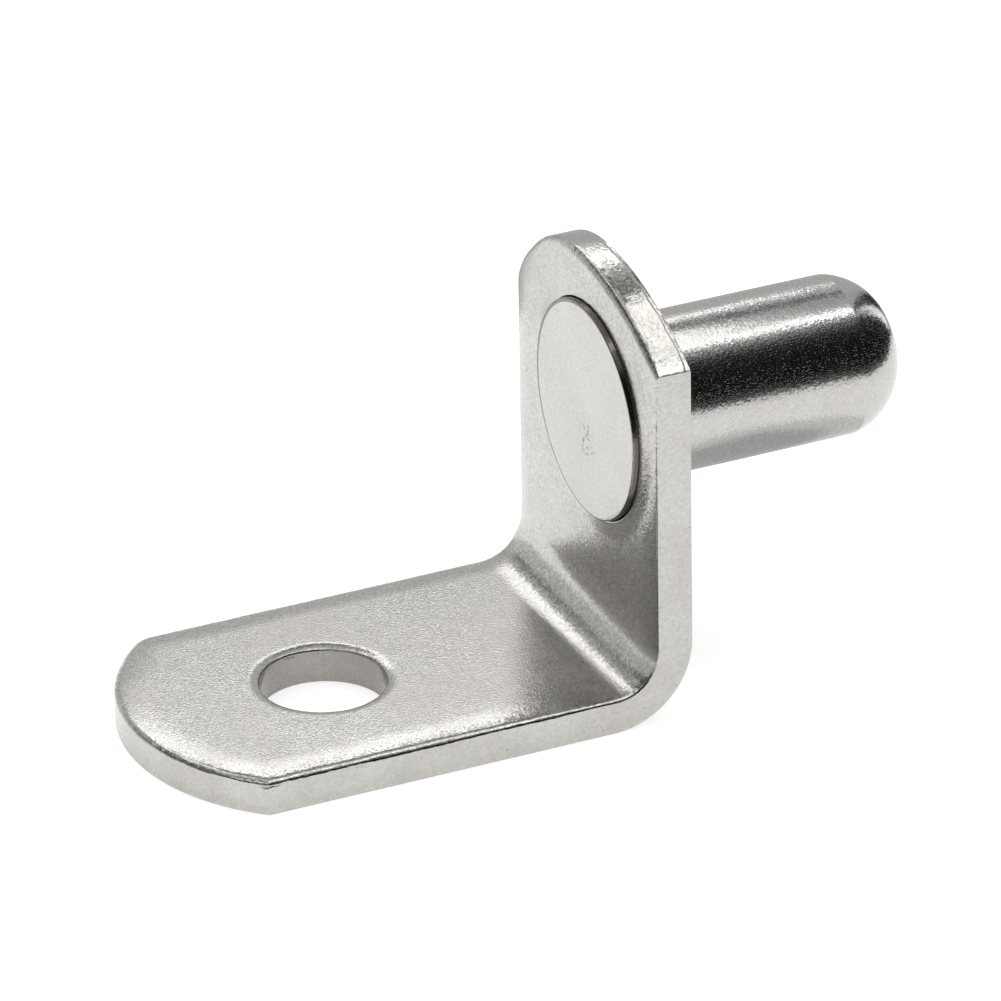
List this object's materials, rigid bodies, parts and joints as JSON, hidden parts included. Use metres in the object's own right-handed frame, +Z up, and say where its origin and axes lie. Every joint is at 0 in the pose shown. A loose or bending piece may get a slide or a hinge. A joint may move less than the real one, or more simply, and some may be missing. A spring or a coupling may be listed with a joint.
{
  "type": "shelf support pin",
  "caption": "Shelf support: an L of bent metal strip with crowned ends and a screw hole in its leg, with a headed peg through its upright that plugs into a hole in a cabinet side.",
  "frame": {"origin": "on the pin's axis at the bracket's outer face, which meets the cabinet side", "axes": "+X along the pin into the cabinet side, the leg runs towards -X, +Z is up"},
  "size_m": [0.0312, 0.0126, 0.0168],
  "materials": {
    "bracket_plating": "bright nickel plate over rolled strip, satin",
    "pin_plating": "bright nickel plate, glossy"
  },
  "bodies": {
    "root": {"bracket": "bracket_plating", "pin": "pin_plating"}
  },
  "joints": []
}
